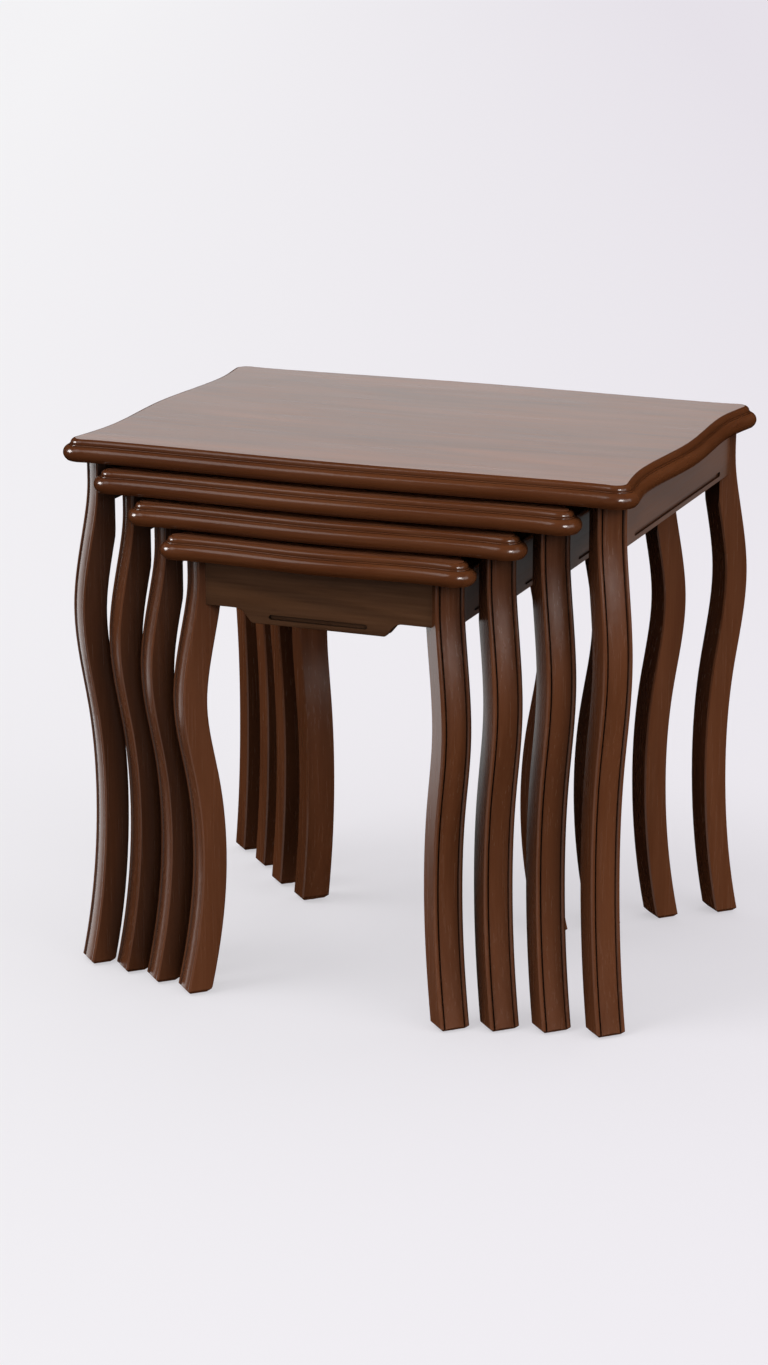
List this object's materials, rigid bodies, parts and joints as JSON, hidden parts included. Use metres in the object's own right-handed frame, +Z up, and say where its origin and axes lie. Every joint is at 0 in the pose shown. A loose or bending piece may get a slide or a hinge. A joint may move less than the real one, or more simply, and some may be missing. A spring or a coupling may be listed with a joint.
{
  "type": "nesting tables",
  "caption": "Nest of wooden occasional tables with serpentine moulded tops and S-curved corner legs; each smaller one slides out from under the next.",
  "frame": {"origin": "on the floor, under the middle of the nest's bounding box", "axes": "+X to the right along the long side of the tops, +Y to the back, +Z up; the smaller tables slide out towards -Y"},
  "size_m": [0.6106, 0.5004, 0.563],
  "materials": {
    "veneer_top": "dark walnut stain, satin lacquer",
    "stained_wood": "dark walnut stain, satin lacquer",
    "beech_dowel": "plain",
    "steel_screw": "zinc plated",
    "glide_plastic": "matt"
  },
  "bodies": {
    "table_1": {"table_1_front_left_leg": "stained_wood", "table_1_front_right_leg": "stained_wood", "table_1_rear_right_leg": "stained_wood", "table_1_rear_left_leg": "stained_wood", "table_1_dowels": "beech_dowel", "table_1_left_apron": "stained_wood", "table_1_right_apron": "stained_wood", "table_1_rear_apron": "stained_wood", "table_1_top_screws": "steel_screw", "table_1_glides": "glide_plastic", "table_1_top_panel": "veneer_top", "table_1_front_moulding": "stained_wood", "table_1_rear_moulding": "stained_wood", "table_1_side_mouldings": "stained_wood"},
    "table_2": {"table_2_front_left_leg": "stained_wood", "table_2_front_right_leg": "stained_wood", "table_2_rear_right_leg": "stained_wood", "table_2_rear_left_leg": "stained_wood", "table_2_dowels": "beech_dowel", "table_2_left_apron": "stained_wood", "table_2_right_apron": "stained_wood", "table_2_rear_apron": "stained_wood", "table_2_top_screws": "steel_screw", "table_2_glides": "glide_plastic", "table_2_top_panel": "veneer_top", "table_2_front_moulding": "stained_wood", "table_2_rear_moulding": "stained_wood", "table_2_side_mouldings": "stained_wood"},
    "table_3": {"table_3_front_left_leg": "stained_wood", "table_3_front_right_leg": "stained_wood", "table_3_rear_right_leg": "stained_wood", "table_3_rear_left_leg": "stained_wood", "table_3_dowels": "beech_dowel", "table_3_left_apron": "stained_wood", "table_3_right_apron": "stained_wood", "table_3_rear_apron": "stained_wood", "table_3_top_screws": "steel_screw", "table_3_glides": "glide_plastic", "table_3_top_panel": "veneer_top", "table_3_front_moulding": "stained_wood", "table_3_rear_moulding": "stained_wood", "table_3_side_mouldings": "stained_wood"},
    "table_4": {"table_4_front_left_leg": "stained_wood", "table_4_front_right_leg": "stained_wood", "table_4_rear_right_leg": "stained_wood", "table_4_rear_left_leg": "stained_wood", "table_4_dowels": "beech_dowel", "table_4_left_apron": "stained_wood", "table_4_right_apron": "stained_wood", "table_4_rear_apron": "stained_wood", "table_4_front_apron": "stained_wood", "table_4_top_screws": "steel_screw", "table_4_glides": "glide_plastic", "table_4_top_panel": "veneer_top", "table_4_front_moulding": "stained_wood", "table_4_rear_moulding": "stained_wood", "table_4_side_mouldings": "stained_wood"}
  },
  "joints": [
    {"name": "table_2_slide", "type": "slide", "parent": "table_1", "child": "table_2", "axis": [0, -1, 0], "range_m": [0, 0.42]},
    {"name": "table_3_slide", "type": "slide", "parent": "table_2", "child": "table_3", "axis": [0, -1, 0], "range_m": [0, 0.38]},
    {"name": "table_4_slide", "type": "slide", "parent": "table_3", "child": "table_4", "axis": [0, -1, 0], "range_m": [0, 0.36]}
  ]
}
